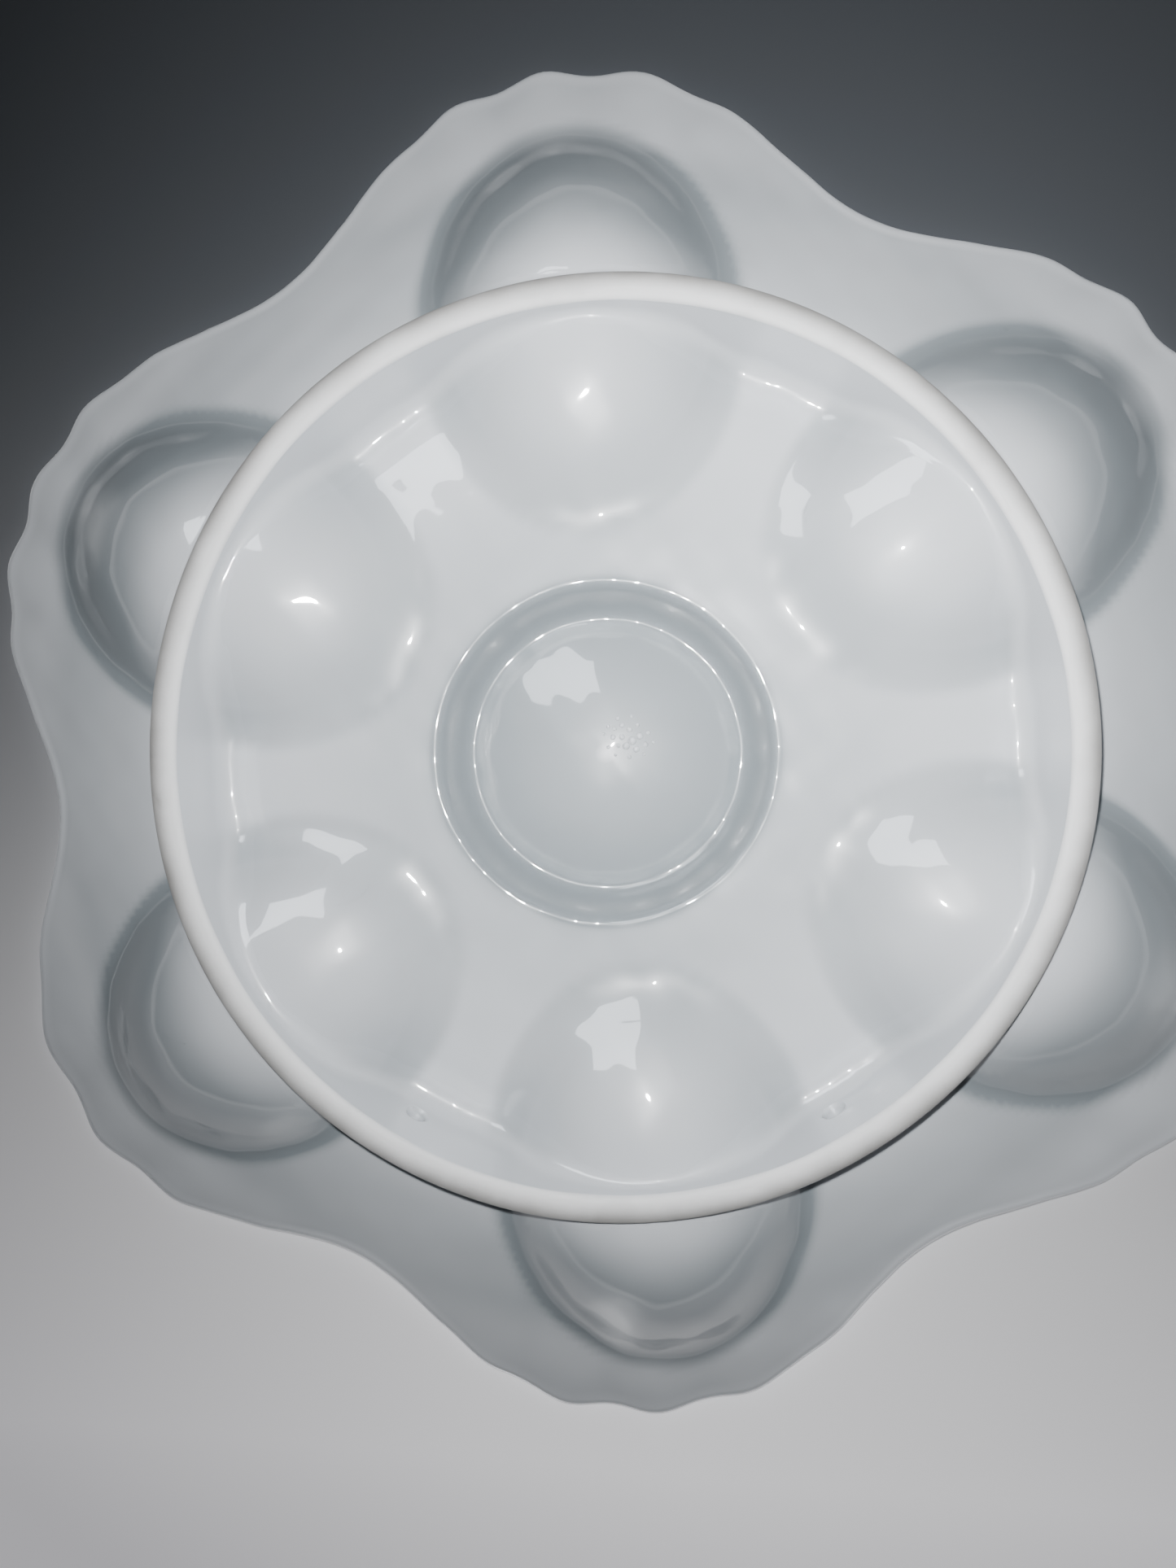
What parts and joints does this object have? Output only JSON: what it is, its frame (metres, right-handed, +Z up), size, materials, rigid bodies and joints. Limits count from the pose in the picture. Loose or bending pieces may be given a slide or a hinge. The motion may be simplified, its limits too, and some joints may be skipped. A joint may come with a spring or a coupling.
{
  "type": "egg plate",
  "caption": "Lobed serving plate in white glazed porcelain with egg-shaped wells round a raised centre cup, on a round foot ring.",
  "frame": {"origin": "middle of the round foot ring's standing edge, on the surface that the plate stands on", "axes": "+Z up out of the open wells, along the plate's middle; a lobe with its well lies on each side along Y, and a notch on each side along X"},
  "size_m": [0.2294, 0.252, 0.0307],
  "materials": {
    "glazed_porcelain": "cool white glossy transparent glaze",
    "bare_porcelain": "unglazed, matt and slightly dusty on the standing edge, glazed above it"
  },
  "bodies": {
    "root": {"plate_body": "glazed_porcelain", "centre_cup": "glazed_porcelain", "egg_well_1": "glazed_porcelain", "egg_well_2": "glazed_porcelain", "egg_well_3": "glazed_porcelain", "egg_well_4": "glazed_porcelain", "egg_well_5": "glazed_porcelain", "egg_well_6": "glazed_porcelain", "foot_ring": "bare_porcelain"}
  },
  "joints": []
}
